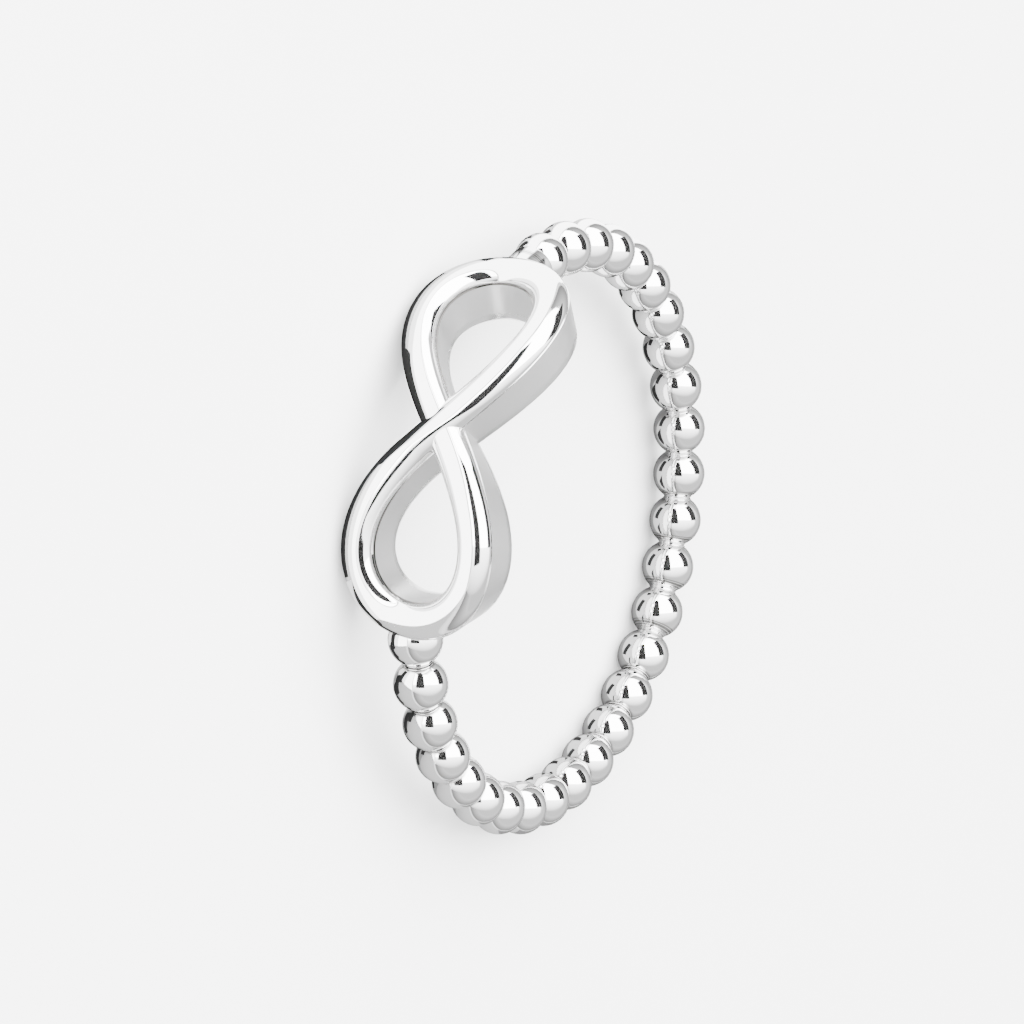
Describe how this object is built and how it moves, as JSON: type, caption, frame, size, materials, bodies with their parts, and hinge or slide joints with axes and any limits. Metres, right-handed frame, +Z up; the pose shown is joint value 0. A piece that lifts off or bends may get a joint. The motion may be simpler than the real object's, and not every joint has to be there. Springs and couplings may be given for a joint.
{
  "type": "finger ring",
  "caption": "Polished silver finger ring: a band of one row of fused round beads, closed by a looped infinity head with open eyes.",
  "frame": {"origin": "on the surface that the ring lies on, under the middle of its bounding box", "axes": "+Z up from the surface, close to the ring's own axis; the infinity head faces -Y; +X runs across, towards the head's soldered first bead"},
  "size_m": [0.0208, 0.0208, 0.0055],
  "materials": {
    "polished_silver": "polished"
  },
  "bodies": {
    "root": {"infinity_ring": "polished_silver"}
  },
  "joints": []
}
